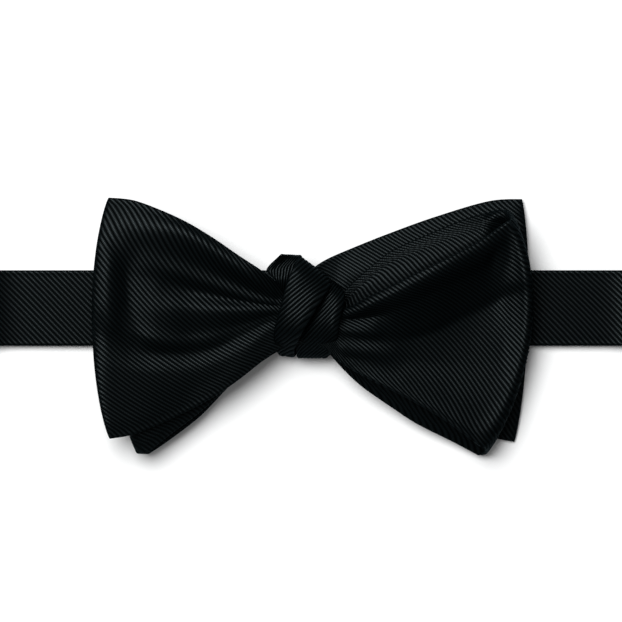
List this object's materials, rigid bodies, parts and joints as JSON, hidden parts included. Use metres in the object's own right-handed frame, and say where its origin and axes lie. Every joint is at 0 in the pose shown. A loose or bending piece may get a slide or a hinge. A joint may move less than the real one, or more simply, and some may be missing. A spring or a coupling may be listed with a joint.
{
  "type": "self-tie bow tie",
  "caption": "Tied self-tie bow tie in black ribbed silk with its neck band, lying face up.",
  "frame": {"origin": "on the surface that the tie lies on, under the middle of the knot", "axes": "+X along the neck band to the viewer's right, +Y up across the bow, +Z from the surface towards the bow's front"},
  "size_m": [0.1988, 0.0674, 0.0214],
  "materials": {
    "black_silk": "ribbed silk, soft sheen"
  },
  "bodies": {
    "root": {"front_bow": "black_silk", "rear_bow": "black_silk", "knot_wrap": "black_silk", "knot_turn": "black_silk", "neck_band": "black_silk"}
  },
  "joints": []
}
